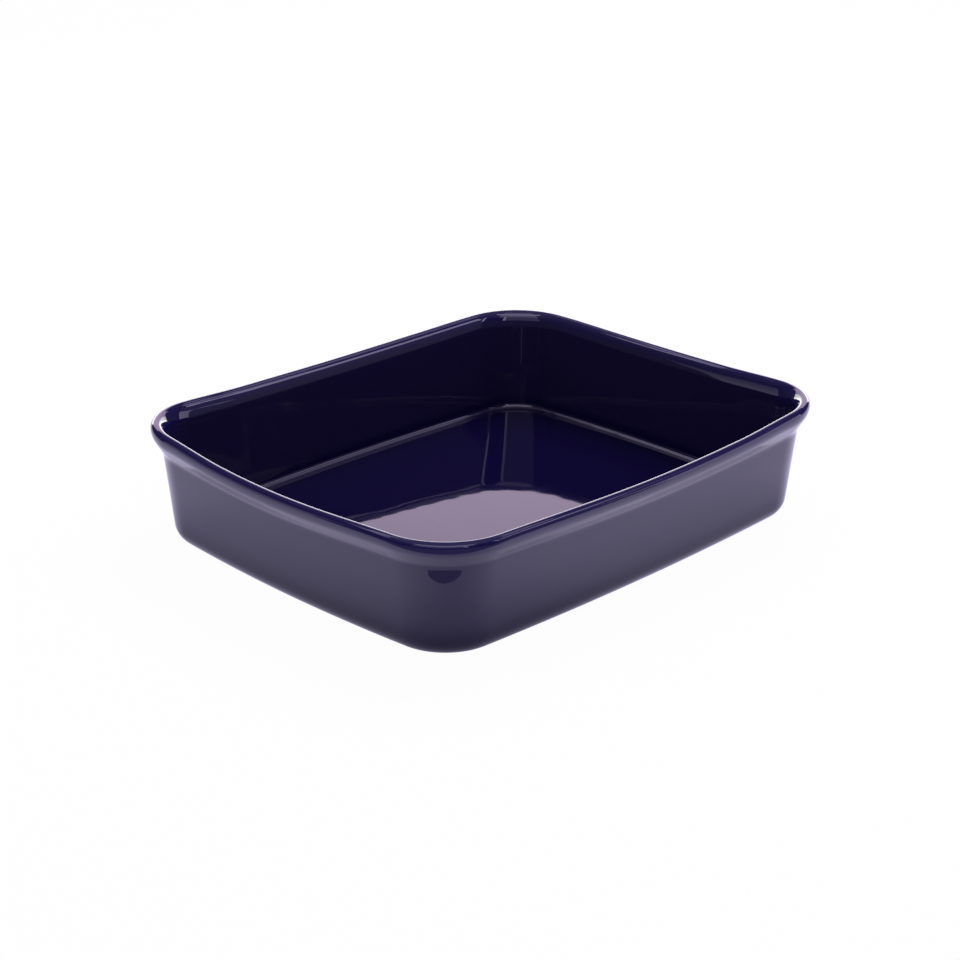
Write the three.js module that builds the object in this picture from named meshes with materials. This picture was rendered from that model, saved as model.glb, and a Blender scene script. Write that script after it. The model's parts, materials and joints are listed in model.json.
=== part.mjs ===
// Glazed ceramic oven dish of gastronorm half size: a fired clay body, the coat of glaze over it
// and the patch of glaze under its base.
// Millimetres, +Z up, long side along X, origin on the table under the middle of the dish.
import * as THREE from 'three';

// Overall size, over the outermost line of the rim
const LENGTH = 325;
const WIDTH = 265;
const RIM_HEIGHT = 67;

// Plan outline: sides that bow out a little, and round corners between them
const LONG_SIDE_RADIUS = 2020;
const SHORT_SIDE_RADIUS = 1050;
const CORNER_RADIUS = 45;

// How far the rim sags at the middle of each side, how far its crown rises at the middle of each
// corner, and how far along the rim that rise reaches
const LONG_RIM_SAG = 1.7;
const SHORT_RIM_SAG = 2.2;
const CORNER_LIFT = 2.5;
const LIFT_REACH = 80;

// Section of the rim: a round crown, a flank that turns under it, a sloping underside, a hollow tucked
// above the wall, and a lip that flares from the inner wall up to the crown. Angles are in degrees from level.
const OUTER_CROWN_RADIUS = 3.4;
const INNER_CROWN_RADIUS = 3.4;
const FLANK_RADIUS = 7.5;
const UNDERSIDE_WIDTH = 6.4;
const TUCK_RADIUS = 8;
const TUCK_ANGLE = 34;
const LIP_RADIUS = 14;
const LIP_ANGLE = 45;

// Section of the walls, the floor and the foot. Drafts are in degrees from upright.
const OUTER_DRAFT = 5.9;
const INNER_DRAFT = 7.5;
const HEEL_RADIUS = 10.3;
const FLOOR_HEIGHT = 6;
const FLOOR_FILLET = 4;
const FOOT_WIDTH = 6;
const RECESS_DEPTH = 1.5;
const RECESS_SLOPE_WIDTH = 1.5;

// Glaze
const GLAZE_THICKNESS = 0.4;
const GLAZE_LINE_HEIGHT = 1.6;
const BASE_GLAZE_MARGIN = 1;

// Steps along each arc
const CORNER_STEPS = 7;
const SIDE_STEPS = 8;
const ROUND_STEPS = 4;
const TURN_STEPS = 3;
const BARE_HEEL_STEPS = 2;

// Finishes
const BARE_CLAY = { color: 0xcdb795, roughness: 0.9, metalness: 0 };
const BLUE_GLAZE = { color: 0x17104a, roughness: 0.08, metalness: 0 };

const DEGREE = Math.PI / 180;

// Where a corner's centre lies: its arc touches both side arcs from inside
function cornerCentre() {
  const longCentre = WIDTH / 2 - LONG_SIDE_RADIUS;
  const shortCentre = LENGTH / 2 - SHORT_SIDE_RADIUS;
  const longReach = LONG_SIDE_RADIUS - CORNER_RADIUS;
  const shortReach = SHORT_SIDE_RADIUS - CORNER_RADIUS;
  const apart = Math.hypot(longCentre, shortCentre);
  const along = (longReach ** 2 - shortReach ** 2 + apart ** 2) / (2 * apart);
  const across = Math.sqrt(longReach ** 2 - along ** 2);
  const toShort = new THREE.Vector2(shortCentre, -longCentre).divideScalar(apart);
  return new THREE.Vector2(
    toShort.x * along + toShort.y * across,
    longCentre + toShort.y * along - toShort.x * across,
  );
}

// Stations round the plan, counter-clockwise: an arc's centre, its radius on the rim, the direction
// of its outward normal, and the rim's sag and lift there
function planStations() {
  const corner = cornerCentre();
  const longTurn = Math.atan2(corner.x, corner.y - (WIDTH / 2 - LONG_SIDE_RADIUS));
  const shortTurn = Math.atan2(corner.y, corner.x - (LENGTH / 2 - SHORT_SIDE_RADIUS));
  const stations = [];
  const quarter = Math.PI / 2;
  const sweep = quarter - longTurn - shortTurn;
  const liftAt = (fromCorner) => CORNER_LIFT * Math.max(0, 1 - (fromCorner / LIFT_REACH) ** 2) ** 2;
  for (let side = 0; side < 4; side += 1) {
    const isShort = side % 2 === 0;
    const radius = isShort ? SHORT_SIDE_RADIUS : LONG_SIDE_RADIUS;
    const reach = (isShort ? LENGTH : WIDTH) / 2 - radius;
    const turn = isShort ? shortTurn : longTurn;
    const sag = isShort ? SHORT_RIM_SAG : LONG_RIM_SAG;
    const heading = side * quarter;
    for (let step = 0; step < SIDE_STEPS; step += 1) {
      const share = (2 * step) / SIDE_STEPS - 1;
      stations.push({
        x: reach * Math.cos(heading),
        y: reach * Math.sin(heading),
        radius,
        angle: heading + turn * share,
        sag: sag * (1 - share ** 2) ** 2,
        lift: liftAt((sweep / 2) * CORNER_RADIUS + turn * radius * (1 - Math.abs(share))),
      });
    }
    const start = heading + turn;
    for (let step = 0; step < CORNER_STEPS; step += 1) {
      stations.push({
        x: corner.x * Math.sign(Math.cos(heading + quarter / 2)),
        y: corner.y * Math.sign(Math.sin(heading + quarter / 2)),
        radius: CORNER_RADIUS,
        angle: start + (sweep * step) / CORNER_STEPS,
        sag: 0,
        lift: liftAt(sweep * CORNER_RADIUS * Math.abs(step / CORNER_STEPS - 0.5)),
      });
    }
  }
  return stations;
}

const STATIONS = planStations();

// One closed ring of the dish: the plan outline drawn in by an inset, at a height
function ring(inset, height, sagShare = 0, liftShare = 0) {
  return STATIONS.map((station) => {
    const reach = station.radius - inset;
    return new THREE.Vector3(
      station.x + reach * Math.cos(station.angle),
      station.y + reach * Math.sin(station.angle),
      height - station.sag * sagShare + station.lift * liftShare,
    );
  });
}

// Direction that a surface of the section faces: 0 out, 90 up, 180 in, -90 down
function facing(angle) {
  return new THREE.Vector2(-Math.cos(angle * DEGREE), Math.sin(angle * DEGREE));
}

// Points of one arc of the section, each with the direction it faces. bend is 1 where the surface
// bulges and -1 where it is hollow.
function sectionArc(centre, radius, bend, from, to, steps) {
  const points = [];
  for (let step = 0; step <= steps; step += 1) {
    const normal = facing(from + ((to - from) * step) / steps);
    points.push({ at: centre.clone().addScaledVector(normal, bend * radius), normal });
  }
  return points;
}

// The glazed surface's section from the heel up the outside, over the rim and down to the floor.
// x is the inset from the outermost line of the rim and y is the height.
function glazedSection() {
  const outerCrown = new THREE.Vector2(OUTER_CROWN_RADIUS, RIM_HEIGHT - OUTER_CROWN_RADIUS);
  const innerCrown = new THREE.Vector2(OUTER_CROWN_RADIUS, RIM_HEIGHT - INNER_CROWN_RADIUS);
  const flank = new THREE.Vector2(FLANK_RADIUS, outerCrown.y);
  const tuck = flank.clone()
    .addScaledVector(facing(-TUCK_ANGLE), FLANK_RADIUS + TUCK_RADIUS)
    .addScaledVector(facing(-90 - TUCK_ANGLE), UNDERSIDE_WIDTH);

  const outerSlope = Math.tan(OUTER_DRAFT * DEGREE);
  const wallTop = tuck.clone().addScaledVector(facing(-OUTER_DRAFT), -TUCK_RADIUS);
  const heelTop = facing(-OUTER_DRAFT).multiplyScalar(HEEL_RADIUS);
  const heel = new THREE.Vector2(0, HEEL_RADIUS - GLAZE_THICKNESS);
  heel.x = wallTop.x + (wallTop.y - heel.y - heelTop.y) * outerSlope - heelTop.x;

  const lipStart = 180 - LIP_ANGLE;
  const inward = 180 - INNER_DRAFT;
  const lip = innerCrown.clone().addScaledVector(facing(lipStart), INNER_CROWN_RADIUS - LIP_RADIUS);
  const innerSlope = Math.tan(INNER_DRAFT * DEGREE);
  const innerTop = lip.clone().addScaledVector(facing(inward), LIP_RADIUS);
  const filletTop = facing(inward).multiplyScalar(-FLOOR_FILLET);
  const fillet = new THREE.Vector2(0, FLOOR_HEIGHT + FLOOR_FILLET);
  fillet.x = innerTop.x + (innerTop.y - fillet.y - filletTop.y) * innerSlope - filletTop.x;

  const bareRadius = HEEL_RADIUS - GLAZE_THICKNESS;
  const glazeLine = Math.asin((GLAZE_LINE_HEIGHT - heel.y) / bareRadius) / DEGREE;
  const points = [
    ...sectionArc(heel, HEEL_RADIUS, 1, glazeLine, -OUTER_DRAFT, ROUND_STEPS),
    ...sectionArc(tuck, TUCK_RADIUS, -1, -OUTER_DRAFT, -TUCK_ANGLE, TURN_STEPS),
    ...sectionArc(flank, FLANK_RADIUS, 1, -TUCK_ANGLE, 0, ROUND_STEPS),
    ...sectionArc(outerCrown, OUTER_CROWN_RADIUS, 1, 0, 90, ROUND_STEPS).slice(1),
    ...sectionArc(innerCrown, INNER_CROWN_RADIUS, 1, 90, lipStart, TURN_STEPS).slice(1),
    ...sectionArc(lip, LIP_RADIUS, 1, lipStart, inward, TURN_STEPS).slice(1),
    ...sectionArc(fillet, FLOOR_FILLET, -1, inward, 90, ROUND_STEPS),
  ];
  return { points, heel, glazeLine, sagFoot: heel.y, sagTop: wallTop.y, liftTop: outerCrown.y };
}

const SECTION = glazedSection();

// Rings of the section at a depth under the glazed surface, from the glaze line to the floor
function sectionRings(depth) {
  return SECTION.points.map(({ at, normal }) => {
    const { clamp, inverseLerp } = THREE.MathUtils;
    const sagShare = clamp(inverseLerp(SECTION.sagFoot, SECTION.sagTop, at.y), 0, 1);
    const liftShare = clamp(inverseLerp(SECTION.sagTop, SECTION.liftTop, at.y), 0, 1);
    const under = at.clone().addScaledVector(normal, -depth);
    return ring(under.x, under.y, sagShare, liftShare);
  });
}

// A closed body through a row of rings, with a middle point that closes each end
function bodyThroughRings(rings, firstHeight, lastHeight, turned) {
  const count = STATIONS.length;
  const points = [new THREE.Vector3(0, 0, firstHeight), ...rings.flat(), new THREE.Vector3(0, 0, lastHeight)];
  const last = points.length - 1;
  const triangles = [];
  const add = (a, b, c) => triangles.push(...(turned ? [a, c, b] : [a, b, c]));
  for (let place = 0; place < count; place += 1) {
    const next = (place + 1) % count;
    add(0, 1 + next, 1 + place);
    for (let row = 0; row + 1 < rings.length; row += 1) {
      const low = 1 + row * count;
      const high = low + count;
      add(low + place, low + next, high + next);
      add(low + place, high + next, high + place);
    }
    const top = last - count;
    add(top + place, top + next, last);
  }
  const geometry = new THREE.BufferGeometry();
  geometry.setFromPoints(points);
  geometry.setIndex(triangles);
  geometry.computeVertexNormals();
  return geometry;
}

// Where the foot's flat ring and the recess inside it lie
const FOOT_INSET = SECTION.heel.x;
const RECESS_INSET = FOOT_INSET + FOOT_WIDTH;
const RECESS_TOP_INSET = RECESS_INSET + RECESS_SLOPE_WIDTH;

// Fired clay: recess, foot ring, bare heel, and then the surface under the glaze
function clayBodyGeometry() {
  const { heel, glazeLine } = SECTION;
  const bareHeel = sectionArc(heel, heel.y, 1, -90, glazeLine, BARE_HEEL_STEPS).slice(0, -1);
  const rings = [
    ring(RECESS_TOP_INSET, RECESS_DEPTH),
    ring(RECESS_INSET, 0),
    ...bareHeel.map(({ at }) => ring(at.x, at.y)),
    ...sectionRings(GLAZE_THICKNESS),
  ];
  return bodyThroughRings(rings, RECESS_DEPTH, FLOOR_HEIGHT - GLAZE_THICKNESS, false);
}

// Glaze over the inside, the rim and the outside, down to the glaze line
function glazeCoatGeometry() {
  const rings = [...sectionRings(0).reverse(), ...sectionRings(GLAZE_THICKNESS)];
  return bodyThroughRings(rings, FLOOR_HEIGHT, FLOOR_HEIGHT - GLAZE_THICKNESS, true);
}

// Patch of glaze in the recess under the base
function baseGlazeGeometry() {
  const inset = RECESS_TOP_INSET + BASE_GLAZE_MARGIN;
  const under = RECESS_DEPTH - GLAZE_THICKNESS;
  const rings = [ring(inset, under), ring(inset, RECESS_DEPTH)];
  return bodyThroughRings(rings, under, RECESS_DEPTH, false);
}

function piece(name, geometry, finish) {
  const mesh = new THREE.Mesh(geometry, new THREE.MeshStandardMaterial(finish));
  mesh.name = name;
  return mesh;
}

const dish = new THREE.Group();
dish.add(
  piece('clay_body', clayBodyGeometry(), BARE_CLAY),
  piece('glaze_coat', glazeCoatGeometry(), BLUE_GLAZE),
  piece('base_glaze', baseGlazeGeometry(), BLUE_GLAZE),
);

export default dish;
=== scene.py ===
"""Glazed ceramic oven dish of gastronorm half size: clay body, coat of blue glaze and glazed base.

Metres, +Z up, long side along X, origin on the table under the middle of the dish.
"""

import json
import math
from collections import namedtuple

import bmesh
import bpy
from mathutils import Matrix, Vector


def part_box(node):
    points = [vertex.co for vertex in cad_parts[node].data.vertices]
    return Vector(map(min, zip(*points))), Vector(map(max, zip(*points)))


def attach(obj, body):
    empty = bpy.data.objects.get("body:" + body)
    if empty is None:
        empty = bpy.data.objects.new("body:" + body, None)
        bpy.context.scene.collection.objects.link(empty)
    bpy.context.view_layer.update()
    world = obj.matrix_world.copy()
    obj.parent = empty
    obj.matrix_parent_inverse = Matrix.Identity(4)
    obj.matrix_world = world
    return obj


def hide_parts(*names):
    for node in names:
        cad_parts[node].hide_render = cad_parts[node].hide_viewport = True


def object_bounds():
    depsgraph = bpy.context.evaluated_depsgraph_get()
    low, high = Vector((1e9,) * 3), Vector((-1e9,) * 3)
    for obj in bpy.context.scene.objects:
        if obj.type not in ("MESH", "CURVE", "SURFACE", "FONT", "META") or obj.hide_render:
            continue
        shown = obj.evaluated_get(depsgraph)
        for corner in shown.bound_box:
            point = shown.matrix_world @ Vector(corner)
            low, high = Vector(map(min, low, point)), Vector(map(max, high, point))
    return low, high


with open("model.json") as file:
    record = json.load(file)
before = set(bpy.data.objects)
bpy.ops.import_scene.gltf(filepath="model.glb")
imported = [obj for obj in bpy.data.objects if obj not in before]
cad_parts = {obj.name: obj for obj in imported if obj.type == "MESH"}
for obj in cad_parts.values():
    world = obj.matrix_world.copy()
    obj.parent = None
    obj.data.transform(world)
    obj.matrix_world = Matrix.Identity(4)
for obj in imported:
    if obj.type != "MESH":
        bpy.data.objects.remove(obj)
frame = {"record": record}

bl_info = {
    "name": "Glazed oven dish",
    "version": (1, 0, 0),
    "blender": (4, 5, 0),
    "location": "View3D > Sidebar > Oven dish",
    "description": "Models a glazed ceramic oven dish on a pale stage",
    "category": "Add Mesh",
}

CAD_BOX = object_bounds()
BASE_GLAZE_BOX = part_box("base_glaze")
MOUNT_HEIGHTS = {mount["name"]: mount["pos_m"][2] for mount in frame["record"]["mounts"]}
CORNER_LIFT = 0.0025
BODY = "root"

QUARTER = math.pi / 2
ACROSS = Vector((0, 1, 0))
DOWN = Vector((0, 0, -1))
SEED_SIZE = 0.01
SAME_PLACE = 1e-6
SEAM_GAP = 1e-5
LEVEL_GAP = 2e-5


# Properties

def size(name, description, default):
    """A length in metres."""
    return bpy.props.FloatProperty(
        name=name, description=description, default=default, unit="LENGTH", precision=5)


def angle(name, description, degrees):
    """An angle, given in degrees."""
    return bpy.props.FloatProperty(
        name=name, description=description, default=math.radians(degrees), subtype="ANGLE")


def share(name, description, default):
    """A part of a whole, from 0 to 1."""
    return bpy.props.FloatProperty(
        name=name, description=description, default=default, min=0, max=1, subtype="FACTOR")


def level(name, description, default):
    """A plain number, such as the strength of a light."""
    return bpy.props.FloatProperty(name=name, description=description, default=default, min=0)


def colour(name, description, default):
    """A colour in linear light."""
    return bpy.props.FloatVectorProperty(
        name=name, description=description, default=default, size=3, min=0, max=1, subtype="COLOR")


class DishSizes(bpy.types.PropertyGroup):
    """Sizes of the dish. Those of the plan are taken over the outermost line of the rim."""

    length: size("Length", "Over the rim along X", CAD_BOX[1].x - CAD_BOX[0].x)
    width: size("Width", "Over the rim along Y", CAD_BOX[1].y - CAD_BOX[0].y)
    rim_height: size("Rim height", "Top of the rim at the near corner", CAD_BOX[1].z - CORNER_LIFT)
    long_side_radius: size("Long side radius", "Bow of the long sides in plan", 2.02)
    short_side_radius: size("Short side radius", "Bow of the short sides in plan", 1.05)
    corner_radius: size("Corner radius", "Round of the corners in plan", 0.045)
    long_rim_sag: size("Long rim sag", "Dip of the rim at the middle of a long side", 0.0017)
    short_rim_sag: size("Short rim sag", "Dip of the rim at the middle of the left short side", 0.0022)
    right_rim_sag: size("Right rim sag", "Dip of the rim at the middle of the right short side", 0.0014)
    side_corner_lift: size(
        "Side corner lift", "Rise of the rim at the two corners that turned up", CORNER_LIFT)
    far_corner_lift: size("Far corner lift", "Rise of the rim at the far corner", 0.0009)
    lift_reach: size("Lift reach", "How far along the rim a corner's rise fades out", 0.08)
    outer_crown: size("Outer crown", "Round of the rim on its outer half", 0.0034)
    inner_crown: size("Inner crown", "Round of the rim on its inner half", 0.0034)
    flank: size("Flank", "Round of the rim's outer face as it turns under", 0.0075)
    underside: size("Underside", "Straight slope under the rim", 0.0064)
    tuck: size("Tuck", "Round of the hollow under the rim", 0.008)
    tuck_angle: angle("Tuck angle", "How far the rim turns under", 34)
    lip: size("Lip", "Round of the flare inside the rim", 0.014)
    lip_angle: angle("Lip angle", "Slope where the lip meets the crown", 45)
    outer_draft: angle("Outer draft", "Lean of the outer walls", 5.9)
    inner_draft: angle("Inner draft", "Lean of the inner walls", 7.5)
    heel: size("Heel", "Round between the outer wall and the foot", 0.0103)
    floor_height: size("Floor height", "Inside floor above the table", MOUNT_HEIGHTS["dish_floor"])
    floor_fillet: size("Floor fillet", "Round between the inner wall and the floor", 0.004)
    floor_crown: size("Floor crown", "Rise of the floor from firing, at its highest place", 0.00176)
    crown_x: size("Crown along X", "Highest place of the floor, from the middle of the dish", -0.045)
    crown_y: size("Crown along Y", "Highest place of the floor, from the middle of the dish", 0.02)
    foot_width: size("Foot width", "Flat width of the bare foot ring", 0.006)
    foot_round: size("Foot round", "Sponged edges of the foot ring", 0.0005)
    recess_depth: size("Recess depth", "Hollow under the base", BASE_GLAZE_BOX[1].z)
    recess_slope: size("Recess slope", "Width of the slope from the foot to the recess", 0.0015)
    glaze_line: size("Glaze line", "Height of the glaze's lower edge on the heel", 0.0016)
    glaze_thickness: size(
        "Glaze thickness", "Depth of the coat of glaze", BASE_GLAZE_BOX[1].z - BASE_GLAZE_BOX[0].z)
    base_glaze_margin: size("Base glaze margin", "Bare clay between the recess's edge and its glaze", 0.001)
    wave_depth: size("Wave depth", "Unevenness of the fired walls", 0.00008)
    wave_length: size("Wave length", "Spacing of that unevenness", 0.07)


class GlazeLook(bpy.types.PropertyGroup):
    """Finish of the glaze."""

    # Darker blue on the inside floor.
    floor_blue: colour("Pooled blue", "Where the glaze pools on the floor", (0.0038, 0.002, 0.031))
    deep: colour("Deep blue", "Where the glaze lies thick on the walls", (0.0112, 0.0078, 0.042))
    thin: colour("Thin blue", "Where the glaze runs thin over the rim", (0.008, 0.005, 0.06))
    edge: colour("Edge", "Where the glaze ends on the foot", (0.030, 0.022, 0.12))
    # Pinholes in the glaze: their pale colour is a painted glint.
    speck_glint: colour("Speck", "Pale specks in the glaze", (0.16, 0.16, 0.30))
    roughness: share("Roughness", "Roughness of the fired surface", 0.02)
    low_loss: share("Low loss", "Gloss lost to shade on the outer wall near the foot", 0.14)
    rim_gain: share("Rim gain", "Gloss added under the rim, for the light that the table throws up", 0.32)


class ClayLook(bpy.types.PropertyGroup):
    """Finish of the bare clay."""

    pale: colour("Pale clay", "Body colour of the fired clay", (0.61, 0.49, 0.33))
    warm: colour("Warm clay", "Toasted patches", (0.47, 0.34, 0.20))
    iron: colour("Iron specks", "Dark specks in the clay", (0.14, 0.08, 0.045))


class StageLook(bpy.types.PropertyGroup):
    """Camera, floor and light."""

    azimuth: angle("Azimuth", "Way round the dish, from looking along +Y", -45.311)
    elevation: angle("Elevation", "Camera above the horizon", 22.419)
    roll: angle("Roll", "Tilt of the picture", 0.391)
    distance: size("Distance", "Camera to the point it looks at", 1.1768)
    target: bpy.props.FloatVectorProperty(
        name="Target", description="Point that the camera looks at", default=(-0.01154, -0.00709, 0.03),
        size=3, subtype="TRANSLATION", unit="LENGTH")
    lens: level("Lens", "Focal length in millimetres on a 36 mm sensor", 78.36)
    floor: colour("Floor", "Pale floor", (0.93, 0.87, 0.98))
    ambient: level("Ambient", "Even light from all round", 0.62)
    key_power: level("Key power", "Watts of the soft lamp above and behind the dish", 20.0)
    floor_white: share("Floor white", "How far the floor is plain white in the picture", 0.97)
    floor_mirrored: share("Floor mirrored", "How far the floor glows in the gloss of the dish", 0.85)
    floor_tint: colour("Floor tint", "Colour of the lit floor in the gloss of the dish", (0.77, 0.71, 1.0))
    floor_light: level("Floor light", "Light of the open floor, in the gloss of the dish", 0.88)
    foot_shade: share("Foot shade", "How far the floor darkens beside the dish", 0.25)
    right_spill: level("Right spill", "Extra light on the floor to the right", 0.75)
    left_spill: level("Left spill", "Extra light on the floor to the left", 0.54)
    table_front: size("Table front", "From the middle of the dish to the dark edge of the table", 0.235)
    table_dark: level("Table dark", "Light of the table past that edge", 0.32)


# Section and plan of the dish

Arc = namedtuple("Arc", "centre radius bend start end steps")


def facing(turn):
    """Direction that a surface of the section faces: 0 out, a quarter turn up, a half turn in."""
    return Vector((math.cos(turn), 0, math.sin(turn)))


def arc_point(arc, turn, depth=0.0):
    """Point of an arc of the section, at a depth under its surface. A bulge bends by 1, a hollow by -1."""
    return arc.centre + facing(turn) * (arc.bend * arc.radius - depth)


def backwards(arcs):
    """The same arcs, drawn the other way."""
    return [arc._replace(start=arc.end, end=arc.start) for arc in reversed(arcs)]


class Section:
    """The dish cut through the middle of its right short side, with x from the middle of the dish."""

    def __init__(self, sizes):
        rim = sizes.length / 2
        draft = -sizes.outer_draft
        outer_crown = Vector((rim - sizes.outer_crown, 0, sizes.rim_height - sizes.outer_crown))
        inner_crown = Vector((rim - sizes.outer_crown, 0, sizes.rim_height - sizes.inner_crown))
        flank = Vector((rim - sizes.flank, 0, outer_crown.z))
        tuck = flank + facing(-sizes.tuck_angle) * (sizes.flank + sizes.tuck)
        tuck += facing(-QUARTER - sizes.tuck_angle) * sizes.underside
        wall_top = tuck - facing(draft) * sizes.tuck

        heel_top = facing(draft) * sizes.heel
        heel = Vector((0, 0, sizes.heel - sizes.glaze_thickness))
        drop = wall_top.z - heel.z - heel_top.z
        heel.x = wall_top.x - drop * math.tan(sizes.outer_draft) - heel_top.x

        lip_start = math.pi - sizes.lip_angle
        inward = math.pi - sizes.inner_draft
        lip = inner_crown + facing(lip_start) * (sizes.inner_crown - sizes.lip)
        lip_foot = lip + facing(inward) * sizes.lip
        fillet_top = facing(inward) * -sizes.floor_fillet
        fillet = Vector((0, 0, sizes.floor_height + sizes.floor_fillet))
        drop = lip_foot.z - fillet.z - fillet_top.z
        fillet.x = lip_foot.x - drop * math.tan(sizes.inner_draft) - fillet_top.x

        bare_heel = heel.z
        glaze_line = math.asin((sizes.glaze_line - heel.z) / bare_heel)
        self.glazed = [
            Arc(heel, sizes.heel, 1, glaze_line, draft, 12),
            Arc(tuck, sizes.tuck, -1, draft, -sizes.tuck_angle, 9),
            Arc(flank, sizes.flank, 1, -sizes.tuck_angle, 0, 12),
            Arc(outer_crown, sizes.outer_crown, 1, 0, QUARTER, 14),
            Arc(inner_crown, sizes.inner_crown, 1, QUARTER, lip_start, 8),
            Arc(lip, sizes.lip, 1, lip_start, inward, 10),
            Arc(fillet, sizes.floor_fillet, -1, inward, QUARTER, 14),
        ]
        self.bare_heel = Arc(heel, bare_heel, 1, -QUARTER, glaze_line, 8)
        self.sag_foot = heel.z
        self.sag_top = wall_top.z
        self.lift_top = outer_crown.z
        self.foot_x = heel.x
        self.recess_x = heel.x - sizes.foot_width
        self.recess_top_x = self.recess_x - sizes.recess_slope
        self.base_glaze_x = self.recess_top_x - sizes.base_glaze_margin
        self.floor_x = fillet.x
        self.floor_y = fillet.x - rim + sizes.width / 2


class Plan:
    """The dish's outline seen from above: four bowed sides and four round corners."""

    SHORT_STEPS = 48
    LONG_STEPS = 60
    CORNER_STEPS = 24

    def __init__(self, sizes):
        self.long_centre = sizes.width / 2 - sizes.long_side_radius
        self.short_centre = sizes.length / 2 - sizes.short_side_radius
        long_reach = sizes.long_side_radius - sizes.corner_radius
        short_reach = sizes.short_side_radius - sizes.corner_radius
        apart = math.hypot(self.long_centre, self.short_centre)
        along = (long_reach ** 2 - short_reach ** 2 + apart ** 2) / (2 * apart)
        across = math.sqrt(long_reach ** 2 - along ** 2)
        x = self.short_centre / apart
        y = -self.long_centre / apart
        self.corner = Vector((x * along + y * across, self.long_centre + y * along - x * across, 0))
        self.long_turn = math.atan2(self.corner.x, self.corner.y - self.long_centre)
        self.short_turn = math.atan2(self.corner.y, self.corner.x - self.short_centre)

    def turns(self):
        """Centre, angle and steps of each stretch, counter-clockwise from the middle of the right side."""
        corner_turn = QUARTER - self.long_turn - self.short_turn
        right = Vector((self.short_centre, 0, 0))
        top = Vector((0, self.long_centre, 0))
        half = self.SHORT_STEPS // 2
        mirrored = Vector((-self.corner.x, self.corner.y, 0))
        return [
            (right, self.short_turn, half),
            (self.corner, corner_turn, self.CORNER_STEPS),
            (top, 2 * self.long_turn, self.LONG_STEPS),
            (mirrored, corner_turn, self.CORNER_STEPS),
            (-right, 2 * self.short_turn, self.SHORT_STEPS),
            (-self.corner, corner_turn, self.CORNER_STEPS),
            (-top, 2 * self.long_turn, self.LONG_STEPS),
            (-mirrored, corner_turn, self.CORNER_STEPS),
            (right, self.short_turn, half),
        ]

    def sag(self, sizes, place):
        """How far the rim dips at a place round the outline."""
        along_long = math.atan2(place.x, abs(place.y) - self.long_centre) / self.long_turn
        along_short = math.atan2(place.y, abs(place.x) - self.short_centre) / self.short_turn
        if abs(along_long) < 1 and abs(place.y) > self.corner.y:
            return sizes.long_rim_sag * (1 - along_long ** 2) ** 2
        if abs(along_short) < 1 and abs(place.x) > self.corner.x:
            deepest = sizes.right_rim_sag if place.x > 0 else sizes.short_rim_sag
            return deepest * (1 - along_short ** 2) ** 2
        return 0.0

    def lift(self, sizes, place):
        """How far the rim rises at a place round the outline, on the way to the nearest corner's middle."""
        if place.x * place.y < 0:
            highest = sizes.side_corner_lift
        elif place.x > 0:
            highest = sizes.far_corner_lift
        else:
            return 0.0
        half_corner = (QUARTER - self.long_turn - self.short_turn) / 2 * sizes.corner_radius
        along_long = math.atan2(abs(place.x), abs(place.y) - self.long_centre)
        along_short = math.atan2(abs(place.y), abs(place.x) - self.short_centre)
        if along_long < self.long_turn and abs(place.y) > self.corner.y:
            away = half_corner + (self.long_turn - along_long) * sizes.long_side_radius
        elif along_short < self.short_turn and abs(place.x) > self.corner.x:
            away = half_corner + (self.short_turn - along_short) * sizes.short_side_radius
        else:
            turned = math.atan2(abs(place.y) - self.corner.y, abs(place.x) - self.corner.x)
            middle = (QUARTER - self.long_turn + self.short_turn) / 2
            away = abs(turned - middle) * sizes.corner_radius
        return highest * max(0, 1 - (away / sizes.lift_reach) ** 2) ** 2


# Modelling

FOOT_STEPS = 2
CLAY_WALL_STEPS = 8
CLAY_FINENESS = 0.6
UNDER_GLAZE_STEPS = 6
UNDER_GLAZE_FINENESS = 0.5
GLAZE_WALL_STEPS = 14
GLAZE_EDGE_STEPS = 6
BASE_EDGE_STEPS = 5
SHARP_ANGLE = math.radians(40)
GLAZE_SHARP_ANGLE = math.radians(80)


def begin_outline(name, at):
    """Starts a piece as one vertex in edit mode."""
    bpy.ops.object.select_all(action="DESELECT")
    bpy.ops.mesh.primitive_plane_add(size=SEED_SIZE, enter_editmode=True)
    piece = bpy.context.object
    piece.name = name
    piece.data.name = name
    bpy.ops.mesh.merge(type="CENTER")
    bpy.ops.transform.translate(value=at)
    return piece


def pull_to(at, to, steps=1):
    """Extrudes the outline's end from one point straight to another."""
    offset = (to - at) / steps
    if offset.length > SAME_PLACE:
        for _ in range(steps):
            bpy.ops.mesh.extrude_region_move(TRANSFORM_OT_translate={"value": offset})
    return to


def draw_arcs(at, arcs, depth, wall_steps, fineness=1.0):
    """Draws the outline on along arcs of the section, at a depth, with straight walls between them."""
    for arc in arcs:
        at = pull_to(at, arc_point(arc, arc.start, depth), wall_steps)
        steps = max(2, round(arc.steps * fineness))
        bpy.ops.mesh.spin(steps=steps, angle=arc.end - arc.start, center=arc.centre, axis=ACROSS)
        at = arc_point(arc, arc.end, depth)
    return at


def sweep_round(plan):
    """Sweeps the finished outline round the plan and closes the seam."""
    bpy.ops.mesh.select_all(action="SELECT")
    for centre, turn, steps in plan.turns():
        bpy.ops.mesh.spin(steps=steps, angle=turn, center=centre, axis=DOWN)
    bpy.ops.mesh.select_all(action="SELECT")
    bpy.ops.mesh.remove_doubles(threshold=SEAM_GAP)


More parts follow.
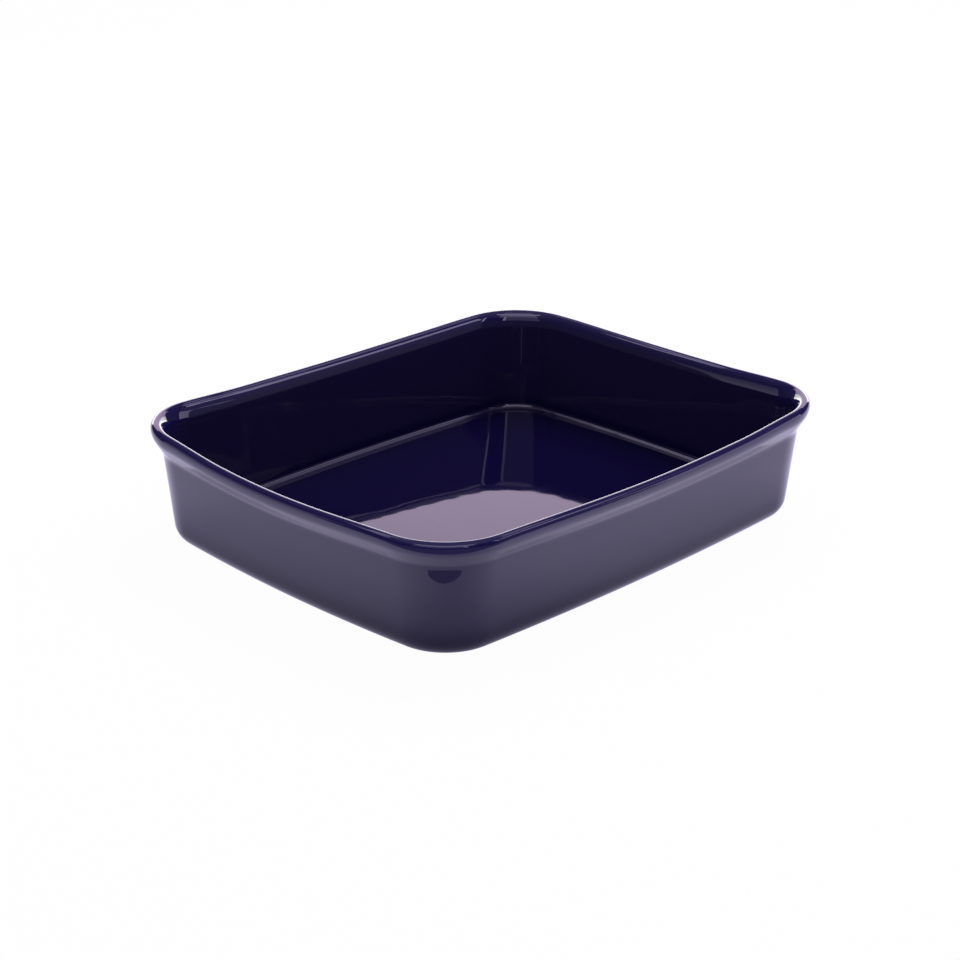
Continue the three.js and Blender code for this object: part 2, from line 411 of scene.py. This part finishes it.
def close_level(height):
    """Closes the open ring at a height with an even grid of faces."""
    piece = bpy.context.object
    bpy.ops.mesh.select_all(action="DESELECT")
    bpy.ops.mesh.select_mode(type="EDGE")
    mesh = bmesh.from_edit_mesh(piece.data)
    ring = []
    for edge in mesh.edges:
        if edge.is_boundary and all(abs(vert.co.z - height) < LEVEL_GAP for vert in edge.verts):
            edge.select_set(True)
            ring.append(edge)
    if not ring:
        raise RuntimeError(f"{piece.name} has no open ring at {height}")
    corner = max((vert for edge in ring for vert in edge.verts), key=lambda vert: vert.co.x + vert.co.y)
    mesh.select_history.clear()
    mesh.select_history.add(corner)
    bmesh.update_edit_mesh(piece.data)
    bpy.ops.mesh.fill_grid(span=Plan.LONG_STEPS + Plan.CORNER_STEPS)
    bpy.ops.mesh.select_mode(type="VERT")


def end_outline(smooth_angle):
    """Turns the faces outwards, leaves edit mode and shades the piece."""
    bpy.ops.mesh.select_all(action="SELECT")
    bpy.ops.mesh.normals_make_consistent(inside=False)
    bpy.ops.object.mode_set(mode="OBJECT")
    bpy.ops.object.shade_smooth_by_angle(angle=smooth_angle)


def weigh(piece, name, weight):
    """Vertex group whose weights follow from each vertex's place."""
    group = piece.vertex_groups.new(name=name)
    for vert in piece.data.vertices:
        value = weight(vert.co)
        if value > 0:
            group.add([vert.index], value, "REPLACE")
    return name


def displace(piece, name, strength, group="", direction="Z", texture=None, mid_level=0.0):
    """Moves the vertices of a group, or all of them, as one applied modifier."""
    modifier = piece.modifiers.new(name, "DISPLACE")
    modifier.strength = strength
    modifier.mid_level = mid_level
    modifier.direction = direction
    modifier.vertex_group = group
    if texture:
        modifier.texture = texture
        modifier.texture_coords = "LOCAL"
    bpy.context.view_layer.objects.active = piece
    bpy.ops.object.modifier_apply(modifier=name)


def way_out(at, peak, edge):
    """How far a place lies from the peak on the way to the floor's edge, 1 at the edge."""
    return abs(at - peak) / (edge - peak if at > peak else edge + peak)


def settle(piece, sizes, section, plan):
    """Lets the rim sag between its corners and turn up at them, and the floor rise, as in the kiln."""
    deepest = max(sizes.long_rim_sag, sizes.short_rim_sag)

    def rim_weight(place):
        height = (place.z - section.sag_foot) / (section.sag_top - section.sag_foot)
        return plan.sag(sizes, place) / deepest * min(1, max(0, height))

    def corner_weight(place):
        height = (place.z - section.sag_top) / (section.lift_top - section.sag_top)
        return plan.lift(sizes, place) / sizes.side_corner_lift * min(1, max(0, height))

    def floor_weight(place):
        if not sizes.recess_depth + LEVEL_GAP < place.z < sizes.floor_height + LEVEL_GAP:
            return 0
        across = way_out(place.x, sizes.crown_x, section.floor_x)
        along = way_out(place.y, sizes.crown_y, section.floor_y)
        if max(across, along) >= 1:
            return 0
        return math.cos(across * QUARTER) ** 2 * (1 - along ** 4) ** 2

    displace(piece, "corner lift", sizes.side_corner_lift, weigh(piece, "corner lift", corner_weight))
    displace(piece, "rim sag", -deepest, weigh(piece, "rim sag", rim_weight))
    displace(piece, "floor crown", sizes.floor_crown, weigh(piece, "floor crown", floor_weight))


def hand_over(piece, node, material):
    """Gives the finished piece its material, and its place in the frame."""
    piece.vertex_groups.clear()
    piece.data.materials.clear()
    piece.data.materials.append(material)
    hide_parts(node)
    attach(piece, BODY)


# Materials

GLASS_IOR = 1.55
PLAIN_SHINE = 0.5
MOTTLE_SCALE = 38.0
CLOUD_THINNING = 0.18
UNEVEN_GLOSS = 0.015
SPECK_ROUGHNESS = 0.2
GLAZE_SPECKS = {"Scale": 95.0, "Share": 0.05, "Radius": 0.03}
RIPPLE_SCALE = 55.0
RIPPLE_STRENGTH = 0.6
RIPPLE_DEPTH = 0.0001
TOAST_SCALE = 22.0
IRON_DEPTH = 0.7
IRON_SPECKS = {"Scale": 420.0, "Share": 0.12, "Radius": 0.28}
GRAIN_SCALE = 2200.0
GRAIN_STRENGTH = 0.35
GRAIN_DEPTH = 0.0002
CLAY_ROUGHNESS = 0.8
GRAIN_ROUGHNESS = 0.15

# Heights over which the glaze changes, from the rim's top, the glaze line, the inside floor or the table
THIN_AT_RIM = (-0.010, -0.002)
PALE_AT_LINE = (0.0025, 0.0)
FLOOR_BLUE_REACH = (0.010, 0.003)
INSIDE_AT_FLOOR = (-0.003, -0.001)
# Painted shade in the gloss on the low outer wall, and painted light under the rim, in heights from the
# table
LOW_WALL = (0.022, 0.010)
RIM_UNDERSIDE = (0.03, 0.04)

# Where the gloss's painted shade and light fall: how far out a face lies along its normal, and how far up
# that normal points
OUTER_FACE = (0.02, 0.06)
UNDER_RIM = (-0.25, -0.5)


def new_material(name):
    """Material with an empty node tree."""
    material = bpy.data.materials.new(name)
    material.use_nodes = True
    material.node_tree.nodes.clear()
    return material


def put(tree, kind, values=None, **settings):
    """Adds a node, sets it up, and fills its inputs with values or with links from other sockets."""
    made = tree.nodes.new(kind)
    for name, value in settings.items():
        setattr(made, name, value)
    for name, value in (values or {}).items():
        if isinstance(value, bpy.types.NodeSocket):
            tree.links.new(value, made.inputs[name])
        else:
            made.inputs[name].default_value = value
    return made


def math_node(tree, operation, first, second=0.0):
    """Result of one sum on two values."""
    return put(tree, "ShaderNodeMath", {0: first, 1: second}, operation=operation).outputs[0]


def multiply_add(tree, value, factor, added):
    """A value times a factor, with something added."""
    terms = {0: value, 1: factor, 2: added}
    return put(tree, "ShaderNodeMath", terms, operation="MULTIPLY_ADD").outputs[0]


def vector_node(tree, operation, first, second=(0, 0, 0)):
    """Outputs of one sum on two vectors."""
    return put(tree, "ShaderNodeVectorMath", {0: first, 1: second}, operation=operation).outputs


def mix_colours(tree, factor, first, second):
    """Blend of two colours."""
    made = put(tree, "ShaderNodeMix", {"Factor": factor}, data_type="RGBA")
    for socket, value in ((made.inputs[6], first), (made.inputs[7], second)):
        if isinstance(value, bpy.types.NodeSocket):
            tree.links.new(value, socket)
        else:
            socket.default_value = (*value, 1)
    return made.outputs[2]


def ramp(tree, value, low, high):
    """Smooth step from 0 at one value to 1 at another."""
    made = put(
        tree, "ShaderNodeMapRange", {"Value": value, "From Min": low, "From Max": high},
        interpolation_type="SMOOTHSTEP")
    return made.outputs["Result"]


def band(tree, height, base, reach):
    """Smooth step over a stretch of heights, counted from a height of the dish."""
    return ramp(tree, height, base + reach[0], base + reach[1])


def new_group(name, inputs, outputs):
    """Shader node group with named sockets, and its ends."""
    tree = bpy.data.node_groups.new(name, "ShaderNodeTree")
    for socket, kind in inputs:
        tree.interface.new_socket(socket, in_out="INPUT", socket_type=kind)
    for socket, kind in outputs:
        tree.interface.new_socket(socket, in_out="OUTPUT", socket_type=kind)
    return tree, tree.nodes.new("NodeGroupInput"), tree.nodes.new("NodeGroupOutput")


def mottle_group():
    """Cloudy variation of a fired surface, from 0 to 1."""
    name = "Fired mottle"
    if name in bpy.data.node_groups:
        return bpy.data.node_groups[name]
    tree, start, end = new_group(
        name,
        [("Place", "NodeSocketVector"), ("Scale", "NodeSocketFloat")],
        [("Amount", "NodeSocketFloat")])
    place = start.outputs["Place"]
    scale = start.outputs["Scale"]
    noise = put(
        tree, "ShaderNodeTexNoise", {"Vector": place, "Scale": scale, "Detail": 3.0, "Roughness": 0.55})
    tree.links.new(ramp(tree, noise.outputs["Fac"], 0.3, 0.7), end.inputs["Amount"])
    return tree


def specks_group():
    """Scattered small round specks, as a mask."""
    name = "Fired specks"
    if name in bpy.data.node_groups:
        return bpy.data.node_groups[name]
    tree, start, end = new_group(
        name,
        [("Place", "NodeSocketVector"), ("Scale", "NodeSocketFloat"), ("Share", "NodeSocketFloat"),
         ("Radius", "NodeSocketFloat")],
        [("Mask", "NodeSocketFloat")])
    cells = put(
        tree, "ShaderNodeTexVoronoi", {"Vector": start.outputs["Place"], "Scale": start.outputs["Scale"]})
    chosen = put(tree, "ShaderNodeSeparateColor", {"Color": cells.outputs["Color"]}).outputs["Red"]
    kept = math_node(tree, "LESS_THAN", chosen, start.outputs["Share"])
    reach = math_node(tree, "DIVIDE", cells.outputs["Distance"], start.outputs["Radius"])
    dot = ramp(tree, reach, 1.0, 0.4)
    tree.links.new(math_node(tree, "MULTIPLY", dot, kept), end.inputs["Mask"])
    return tree


def group_node(tree, group, values):
    """Places a node group in a material."""
    return put(tree, "ShaderNodeGroup", values, node_tree=group)


def glaze_colour(tree, look, sizes, height, mottle):
    """Blue of the glaze: thin over the rim, darker on the inside floor and paler at its lower edge."""
    over_rim = band(tree, height, sizes.rim_height, THIN_AT_RIM)
    cloudy = math_node(tree, "MULTIPLY", mottle, CLOUD_THINNING)
    thinness = math_node(tree, "MAXIMUM", over_rim, cloudy)
    on_floor = band(tree, height, sizes.floor_height, FLOOR_BLUE_REACH)
    inside = band(tree, height, sizes.floor_height, INSIDE_AT_FLOOR)
    floor_share = math_node(tree, "MULTIPLY", on_floor, inside)
    at_foot = band(tree, height, sizes.glaze_line, PALE_AT_LINE)
    blue = mix_colours(tree, thinness, look.deep, look.thin)
    blue = mix_colours(tree, floor_share, blue, look.floor_blue)
    return mix_colours(tree, at_foot, blue, look.edge)


def glaze_shine(tree, look, place, height):
    """Strength of the gloss: turned down on the outer wall near the foot as painted shade, and up under the
    rim as painted light.
    """
    normal = put(tree, "ShaderNodeNewGeometry").outputs["Normal"]
    outside = ramp(tree, vector_node(tree, "DOT_PRODUCT", place, normal)["Value"], *OUTER_FACE)
    low = math_node(tree, "MULTIPLY", ramp(tree, height, *LOW_WALL), outside)
    upwards = put(tree, "ShaderNodeSeparateXYZ", {"Vector": normal}).outputs["Z"]
    downwards = ramp(tree, upwards, *UNDER_RIM)
    under = math_node(tree, "MULTIPLY", downwards, ramp(tree, height, *RIM_UNDERSIDE))
    shine = multiply_add(tree, low, -look.low_loss, PLAIN_SHINE)
    return multiply_add(tree, under, look.rim_gain, shine)


def glaze_material(look, sizes):
    """Deep cobalt gloss glaze with fine ripple and a few specks."""
    name = "Cobalt glaze"
    if name in bpy.data.materials:
        return bpy.data.materials[name]
    material = new_material(name)
    tree = material.node_tree
    place = put(tree, "ShaderNodeTexCoord").outputs["Object"]
    height = put(tree, "ShaderNodeSeparateXYZ", {"Vector": place}).outputs["Z"]
    mottle = group_node(tree, mottle_group(), {"Place": place, "Scale": MOTTLE_SCALE}).outputs["Amount"]
    specks = group_node(tree, specks_group(), {"Place": place, **GLAZE_SPECKS}).outputs["Mask"]
    # Pale specks: pinhole dents, with a painted glint in their colour.
    blue = mix_colours(tree, specks, glaze_colour(tree, look, sizes, height, mottle), look.speck_glint)
    uneven = multiply_add(tree, mottle, UNEVEN_GLOSS, look.roughness)
    rough = multiply_add(tree, specks, SPECK_ROUGHNESS, uneven)
    ripple = put(tree, "ShaderNodeTexNoise", {"Vector": place, "Scale": RIPPLE_SCALE, "Detail": 1.0})
    relief = math_node(tree, "SUBTRACT", ripple.outputs["Fac"], specks)
    bump = put(
        tree, "ShaderNodeBump",
        {"Strength": RIPPLE_STRENGTH, "Distance": RIPPLE_DEPTH, "Height": relief})
    shader = put(
        tree, "ShaderNodeBsdfPrincipled",
        {"Base Color": blue, "Roughness": rough, "IOR": GLASS_IOR,
         "Specular IOR Level": glaze_shine(tree, look, place, height), "Normal": bump.outputs["Normal"]})
    put(tree, "ShaderNodeOutputMaterial", {"Surface": shader.outputs["BSDF"]})
    return material


def clay_material(look):
    """Bare fired clay: buff, toasted in patches, with fine grain and iron specks."""
    material = new_material("Bare clay")
    tree = material.node_tree
    place = put(tree, "ShaderNodeTexCoord").outputs["Object"]
    toast = group_node(tree, mottle_group(), {"Place": place, "Scale": TOAST_SCALE}).outputs["Amount"]
    iron = group_node(tree, specks_group(), {"Place": place, **IRON_SPECKS}).outputs["Mask"]
    grain = put(
        tree, "ShaderNodeTexNoise", {"Vector": place, "Scale": GRAIN_SCALE, "Detail": 2.0}).outputs["Fac"]
    body = mix_colours(tree, toast, look.pale, look.warm)
    body = mix_colours(tree, math_node(tree, "MULTIPLY", iron, IRON_DEPTH), body, look.iron)
    rough = multiply_add(tree, grain, GRAIN_ROUGHNESS, CLAY_ROUGHNESS)
    bump = put(
        tree, "ShaderNodeBump", {"Strength": GRAIN_STRENGTH, "Distance": GRAIN_DEPTH, "Height": grain})
    shader = put(
        tree, "ShaderNodeBsdfPrincipled",
        {"Base Color": body, "Roughness": rough, "Normal": bump.outputs["Normal"]})
    put(tree, "ShaderNodeOutputMaterial", {"Surface": shader.outputs["BSDF"]})
    return material


# Stage

Glow = namedtuple("Glow", "name bearings elevations low high tint")

STUDIO_RADIUS = 20.0
GLOW_GAP = 0.1
GLOW_STEP = math.radians(4)
FLOOR_BREADTH = 60.0
FLOOR_LEVEL = -0.0002
TABLE_FRONT_DEPTH = 1.6
TABLE_FRONT_BREADTH = 5.0
TABLE_FRONT_HEIGHT = 0.0005
RIGHT_SPILL_REACH = (0.0, 0.11)
LEFT_SPILL_REACH = (0.0, -0.12)
FOOT_SHADE_REACH = (0.04, 0.0)
KEY_LAMP_SIZE = (1.6, 1.0)
KEY_LAMP_BEHIND = 0.9
KEY_LAMP_RIGHT = 0.5
KEY_LAMP_HEIGHT = 1.6
SENSOR_WIDTH = 36.0
NEAREST_SEEN = 0.05
FARTHEST_SEEN = 100.0
WHITE = (1.0, 1.0, 1.0)
PALE = (0.77, 0.68, 1.0)
LILAC = (0.92, 0.74, 1.0)

# What the gloss mirrors: bearings right of the camera and elevations in degrees, glow from low to high
STUDIO_GLOWS = (
    Glow("room_foot", (0, 360), (0, 30), 0.1, 0.1, PALE),
    Glow("room_wall", (0, 360), (30, 47), 0.1, 0.2, PALE),
    Glow("room_cove", (0, 360), (47, 62), 0.25, 0.45, PALE),
    Glow("room_top", (0, 360), (62, 90), 0.5, 0.5, PALE),
    Glow("back_wall", (148, 212), (14, 30), 1.95, 2.2, LILAC),
    Glow("back_low", (148, 212), (6, 14), 3.5, 3.5, WHITE),
    Glow("back_window", (148, 212), (0, 6), 5.0, 5.0, WHITE),
    Glow("left_window", (-102, -86), (0, 24), 1.0, 0.4, PALE),
    Glow("left_tube", (-112, -96), (44, 47), 3.4, 3.4, PALE),
    Glow("left_tube_bend", (-126, -112), (46, 49), 1.7, 1.7, PALE),
    Glow("left_panel", (-165, -112), (49, 54), 2.4, 1.8, PALE),
    Glow("right_low", (78, 112), (0, 35), 0.25, 0.3, PALE),
    Glow("right_window", (91, 112), (0, 21), 1.9, 1.9, PALE),
    Glow("right_tube", (86, 106), (36, 41.5), 3.6, 3.6, PALE),
    Glow("right_tube_bend", (106, 118), (40, 44), 2.0, 2.0, PALE),
    Glow("right_panel", (104, 160), (48, 53), 1.7, 1.1, PALE),
    Glow("front_panel", (-45, 26), (28, 46), 0.7, 0.7, PALE),
    Glow("front_cove", (-45, 45), (46, 72), 1.8, 1.8, PALE),
    Glow("front_tube", (-60, 60), (58, 62), 4.5, 4.5, PALE),
    Glow("doorway", (32, 75), (26, 46), 0.08, 0.08, PALE),
    Glow("doorway_left", (26, 32), (28, 46), 3.2, 3.2, PALE),
    Glow("doorway_right", (75, 81), (30, 46), 3.6, 3.6, PALE),
)


def glow_material(name, tint, low, high, bottom, top):
    """Glow that changes evenly from one height to another."""
    material = new_material(name)
    material.cycles.emission_sampling = "NONE"
    tree = material.node_tree
    place = put(tree, "ShaderNodeTexCoord").outputs["Object"]
    height = put(tree, "ShaderNodeSeparateXYZ", {"Vector": place}).outputs["Z"]
    strength = put(
        tree, "ShaderNodeMapRange",
        {"Value": height, "From Min": bottom, "From Max": top, "To Min": low, "To Max": high})
    glow = put(tree, "ShaderNodeEmission", {"Color": (*tint, 1), "Strength": strength.outputs["Result"]})
    put(tree, "ShaderNodeOutputMaterial", {"Surface": glow.outputs["Emission"]})
    return material


def only_in_reflections(obj):
    """A studio card shows in the gloss of the dish, and neither lights it nor stands in the picture."""
    obj.visible_camera = False
    obj.visible_diffuse = False
    obj.visible_shadow = False


def towards_camera(look):
    """Level direction from the dish to the camera."""
    return Vector((math.sin(look.azimuth), -math.cos(look.azimuth), 0))


def picture_right(look):
    """Level direction to the right of the picture."""
    return Vector((math.cos(look.azimuth), math.sin(look.azimuth), 0))


def add_glow(look, glow, radius):
    """Stretch of the studio's walls, between two bearings and two elevations, seen only in the gloss."""
    bearing = math.radians(glow.bearings[0])
    sweep = math.radians(glow.bearings[1]) - bearing
    low = math.radians(glow.elevations[0])
    rise = math.radians(glow.elevations[1]) - low
    wall = begin_outline(glow.name, facing(low) * radius)
    bpy.ops.mesh.spin(steps=math.ceil(rise / GLOW_STEP), angle=rise, center=(0, 0, 0), axis=ACROSS)
    bpy.ops.mesh.select_all(action="SELECT")
    bpy.ops.mesh.spin(steps=math.ceil(sweep / GLOW_STEP), angle=sweep, center=(0, 0, 0), axis=DOWN)
    bpy.ops.object.mode_set(mode="OBJECT")
    wall.rotation_euler.z = look.azimuth - QUARTER + bearing
    bottom = radius * math.sin(low)
    top = radius * math.sin(low + rise)
    wall.data.materials.append(glow_material(glow.name, glow.tint, glow.low, glow.high, bottom, top))
    only_in_reflections(wall)


def add_table_front(look):
    """Dark edge of the table in front of the dish, seen only in the gloss."""
    bpy.ops.object.select_all(action="DESELECT")
    middle = towards_camera(look) * (look.table_front + TABLE_FRONT_DEPTH / 2)
    middle.z = TABLE_FRONT_HEIGHT
    bpy.ops.mesh.primitive_plane_add(size=1, location=middle, rotation=(0, 0, look.azimuth))
    edge = bpy.context.object
    edge.name = "table_front"
    edge.scale = (TABLE_FRONT_BREADTH, TABLE_FRONT_DEPTH, 1)
    edge.data.materials.append(glow_material("Table front", PALE, look.table_dark, look.table_dark, 0, 1))
    only_in_reflections(edge)


def distance_from_dish(tree, place, sizes):
    """How far a place on the floor lies outside the rim's outline, and under 0 beneath the dish."""
    half = Vector((sizes.length / 2, sizes.width / 2, 0)) - Vector((1, 1, 0)) * sizes.corner_radius
    folded = vector_node(tree, "ABSOLUTE", place)["Vector"]
    past = vector_node(tree, "SUBTRACT", folded, half)["Vector"]
    past = vector_node(tree, "MAXIMUM", past)["Vector"]
    reach = vector_node(tree, "LENGTH", past)["Value"]
    return math_node(tree, "SUBTRACT", reach, sizes.corner_radius)


def floor_light(tree, look, sizes):
    """Light of the floor in the gloss: less beside the dish, more to both sides."""
    place = put(tree, "ShaderNodeTexCoord").outputs["Object"]
    sideways = vector_node(tree, "DOT_PRODUCT", place, picture_right(look))["Value"]
    spill = multiply_add(tree, ramp(tree, sideways, *RIGHT_SPILL_REACH), look.right_spill, 1.0)
    spill = multiply_add(tree, ramp(tree, sideways, *LEFT_SPILL_REACH), look.left_spill, spill)
    beside = distance_from_dish(tree, place, sizes)
    near = multiply_add(tree, ramp(tree, beside, *FOOT_SHADE_REACH), -look.foot_shade, 1.0)
    return math_node(tree, "MULTIPLY", math_node(tree, "MULTIPLY", near, spill), look.floor_light)


def floor_material(look, sizes):
    """Pale floor: white in the picture but for the dish's shadow, aglow in the gloss, clear from beneath."""
    material = new_material("Pale floor")
    tree = material.node_tree
    ray = put(tree, "ShaderNodeLightPath").outputs
    seen = math_node(tree, "MULTIPLY", ray["Is Camera Ray"], look.floor_white)
    bounced = math_node(tree, "MAXIMUM", ray["Is Glossy Ray"], ray["Is Transmission Ray"])
    mirrored = math_node(tree, "MULTIPLY", bounced, look.floor_mirrored)
    glowing = math_node(tree, "MAXIMUM", seen, mirrored)
    plain = put(tree, "ShaderNodeBsdfDiffuse", {"Color": (*look.floor, 1)})
    lit = floor_light(tree, look, sizes)
    strength = put(tree, "ShaderNodeMix", {"Factor": bounced, "A": 1.0, "B": lit}).outputs["Result"]
    tint = mix_colours(tree, bounced, WHITE, look.floor_tint)
    glow = put(tree, "ShaderNodeEmission", {"Color": tint, "Strength": strength})
    mixed = put(tree, "ShaderNodeMixShader", {0: glowing, 1: plain.outputs[0], 2: glow.outputs[0]})
    beneath = put(tree, "ShaderNodeNewGeometry").outputs["Backfacing"]
    clear = put(tree, "ShaderNodeBsdfTransparent")
    surface = put(tree, "ShaderNodeMixShader", {0: beneath, 1: mixed.outputs[0], 2: clear.outputs[0]})
    put(tree, "ShaderNodeOutputMaterial", {"Surface": surface.outputs[0]})
    return material


def add_floor(look, sizes):
    """Wide floor under the dish."""
    bpy.ops.object.select_all(action="DESELECT")
    bpy.ops.mesh.primitive_plane_add(size=FLOOR_BREADTH, location=(0, 0, FLOOR_LEVEL))
    floor = bpy.context.object
    floor.name = "stage_floor"
    floor.data.materials.append(floor_material(look, sizes))


def set_world(look):
    """Even light from all round, white where the picture or a reflection looks past the floor."""
    world = bpy.data.worlds.new("Studio")
    bpy.context.scene.world = world
    world.use_nodes = True
    tree = world.node_tree
    tree.nodes.clear()
    ray = put(tree, "ShaderNodeLightPath").outputs
    mirrored = math_node(tree, "MAXIMUM", ray["Is Glossy Ray"], ray["Is Transmission Ray"])
    seen = math_node(tree, "MAXIMUM", ray["Is Camera Ray"], mirrored)
    even = put(tree, "ShaderNodeBackground", {"Color": (1, 1, 1, 1), "Strength": look.ambient})
    white = put(tree, "ShaderNodeBackground", {"Color": (1, 1, 1, 1), "Strength": 1.0})
    mixed = put(tree, "ShaderNodeMixShader", {0: seen, 1: even.outputs[0], 2: white.outputs[0]})
    put(tree, "ShaderNodeOutputWorld", {"Surface": mixed.outputs[0]})


def add_key_lamp(look):
    """Large soft lamp above and behind the dish, which draws its soft shadow."""
    data = bpy.data.lights.new("key_lamp", "AREA")
    data.shape = "RECTANGLE"
    data.size, data.size_y = KEY_LAMP_SIZE
    data.energy = look.key_power
    lamp = bpy.data.objects.new("key_lamp", data)
    bpy.context.scene.collection.objects.link(lamp)
    lamp.location = picture_right(look) * KEY_LAMP_RIGHT - towards_camera(look) * KEY_LAMP_BEHIND
    lamp.location.z = KEY_LAMP_HEIGHT
    lamp.rotation_euler = lamp.location.to_track_quat("Z", "Y").to_euler()
    lamp.visible_glossy = False
    lamp.visible_camera = False


def add_camera(look):
    """Camera at the picture's angle."""
    right = picture_right(look)
    back = towards_camera(look) * math.cos(look.elevation)
    back.z = math.sin(look.elevation)
    up = back.cross(right)
    tilted_right = right * math.cos(look.roll) + up * math.sin(look.roll)
    tilted_up = up * math.cos(look.roll) - right * math.sin(look.roll)
    data = bpy.data.cameras.new("camera")
    data.sensor_width = SENSOR_WIDTH
    data.lens = look.lens
    data.clip_start = NEAREST_SEEN
    data.clip_end = FARTHEST_SEEN
    camera = bpy.data.objects.new("camera", data)
    bpy.context.scene.collection.objects.link(camera)
    turned = Matrix((tilted_right, tilted_up, back)).transposed()
    camera.matrix_world = Matrix.Translation(Vector(look.target) + back * look.distance) @ turned.to_4x4()
    bpy.context.scene.camera = camera


# Operators

class ClayBodyOperator(bpy.types.Operator):
    """Model the fired clay body with its bare foot ring and the recess under its base"""

    bl_idname = "dish.clay_body"
    bl_label = "Clay body"
    bl_options = {"REGISTER", "UNDO"}

    def execute(self, context):
        sizes = context.scene.dish_sizes
        section = Section(sizes)
        plan = Plan(sizes)
        at = Vector((section.recess_top_x, 0, sizes.recess_depth))
        piece = begin_outline("clay_body_fired", at)
        at = pull_to(at, Vector((section.recess_x, 0, 0)))
        at = pull_to(at, Vector((section.foot_x, 0, 0)), FOOT_STEPS)
        at = draw_arcs(at, [section.bare_heel], 0, 1)
        draw_arcs(at, section.glazed, sizes.glaze_thickness, CLAY_WALL_STEPS, CLAY_FINENESS)
        sweep_round(plan)
        close_level(sizes.recess_depth)
        close_level(sizes.floor_height - sizes.glaze_thickness)
        end_outline(SHARP_ANGLE)
        settle(piece, sizes, section, plan)
        hand_over(piece, "clay_body", clay_material(context.scene.dish_clay))
        return {"FINISHED"}


class GlazeCoatOperator(bpy.types.Operator):
    """Model the coat of glaze over the inside, the rim and the outside, down to its rolled lower edge"""

    bl_idname = "dish.glaze_coat"
    bl_label = "Glaze coat"
    bl_options = {"REGISTER", "UNDO"}

    def execute(self, context):
        sizes = context.scene.dish_sizes
        section = Section(sizes)
        plan = Plan(sizes)
        depth = sizes.glaze_thickness
        under = backwards(section.glazed)
        at = arc_point(under[0], under[0].start, depth)
        piece = begin_outline("glaze_coat_fired", at)
        draw_arcs(at, under, depth, UNDER_GLAZE_STEPS, UNDER_GLAZE_FINENESS)
        first = section.glazed[0]
        at = arc_point(first, first.start)
        middle = arc_point(first, first.start, depth / 2)
        bpy.ops.mesh.spin(steps=GLAZE_EDGE_STEPS, angle=math.pi, center=middle, axis=ACROSS)
        draw_arcs(at, section.glazed, 0, GLAZE_WALL_STEPS)
        sweep_round(plan)
        close_level(sizes.floor_height - depth)
        close_level(sizes.floor_height)
        end_outline(GLAZE_SHARP_ANGLE)
        settle(piece, sizes, section, plan)
        self.ripple(piece, sizes)
        hand_over(piece, "glaze_coat", glaze_material(context.scene.dish_glaze, sizes))
        return {"FINISHED"}

    def ripple(self, piece, sizes):
        """Gives the coat the slight unevenness of a fired surface, towards its inside only."""
        waves = bpy.data.textures.new("fired waves", "CLOUDS")
        waves.noise_scale = sizes.wave_length
        waves.noise_depth = 1
        displace(piece, "fired waves", sizes.wave_depth, direction="NORMAL", texture=waves, mid_level=1.0)


class BaseGlazeOperator(bpy.types.Operator):
    """Model the patch of glaze in the recess under the base"""

    bl_idname = "dish.base_glaze"
    bl_label = "Base glaze"
    bl_options = {"REGISTER", "UNDO"}

    def execute(self, context):
        sizes = context.scene.dish_sizes
        section = Section(sizes)
        plan = Plan(sizes)
        top = sizes.recess_depth
        under = top - sizes.glaze_thickness
        roll = sizes.glaze_thickness / 2
        at = Vector((section.base_glaze_x, 0, top))
        piece = begin_outline("base_glaze_fired", at)
        middle = Vector((section.base_glaze_x - roll, 0, under + roll))
        bend = Arc(middle, roll, 1, 0, -QUARTER, BASE_EDGE_STEPS)
        draw_arcs(at, [bend], 0, 1)
        sweep_round(plan)
        close_level(top)
        close_level(under)
        end_outline(SHARP_ANGLE)
        hand_over(piece, "base_glaze", glaze_material(context.scene.dish_glaze, sizes))
        return {"FINISHED"}


class StageOperator(bpy.types.Operator):
    """Set up the pale floor, the studio light and the camera"""

    bl_idname = "dish.stage"
    bl_label = "Stage"
    bl_options = {"REGISTER", "UNDO"}

    def execute(self, context):
        look = context.scene.dish_stage
        context.scene.view_settings.view_transform = "Standard"
        add_floor(look, context.scene.dish_sizes)
        set_world(look)
        add_key_lamp(look)
        add_table_front(look)
        for order, glow in enumerate(STUDIO_GLOWS):
            add_glow(look, glow, STUDIO_RADIUS - order * GLOW_GAP)
        add_camera(look)
        return {"FINISHED"}


class DishPanel(bpy.types.Panel):
    """Lists the pieces of the dish and its stage in the 3D view's sidebar"""

    bl_idname = "VIEW3D_PT_glazed_dish"
    bl_label = "Glazed oven dish"
    bl_space_type = "VIEW_3D"
    bl_region_type = "UI"
    bl_category = "Oven dish"

    def draw(self, context):
        for operator in OPERATORS:
            self.layout.operator(operator.bl_idname)
        for name in PROPERTY_GROUPS:
            group = getattr(context.scene, name)
            box = self.layout.box()
            box.label(text=group.bl_rna.name)
            for prop in group.bl_rna.properties:
                if not prop.is_readonly and prop.identifier != "name":
                    box.prop(group, prop.identifier)


OPERATORS = (ClayBodyOperator, GlazeCoatOperator, BaseGlazeOperator, StageOperator)
PROPERTY_GROUPS = {
    "dish_sizes": DishSizes,
    "dish_glaze": GlazeLook,
    "dish_clay": ClayLook,
    "dish_stage": StageLook,
}


def register():
    """Registers the classes and hangs the properties on the scene."""
    for cls in (*PROPERTY_GROUPS.values(), *OPERATORS, DishPanel):
        bpy.utils.register_class(cls)
    for name, group in PROPERTY_GROUPS.items():
        setattr(bpy.types.Scene, name, bpy.props.PointerProperty(type=group))


def unregister():
    """Takes the properties and the classes away again."""
    for name in PROPERTY_GROUPS:
        delattr(bpy.types.Scene, name)
    for cls in reversed((*PROPERTY_GROUPS.values(), *OPERATORS, DishPanel)):
        bpy.utils.unregister_class(cls)


def main():
    """Makes the dish and its stage."""
    register()
    bpy.ops.dish.clay_body()
    bpy.ops.dish.glaze_coat()
    bpy.ops.dish.base_glaze()
    bpy.ops.dish.stage()


if __name__ == "__main__":
    main()
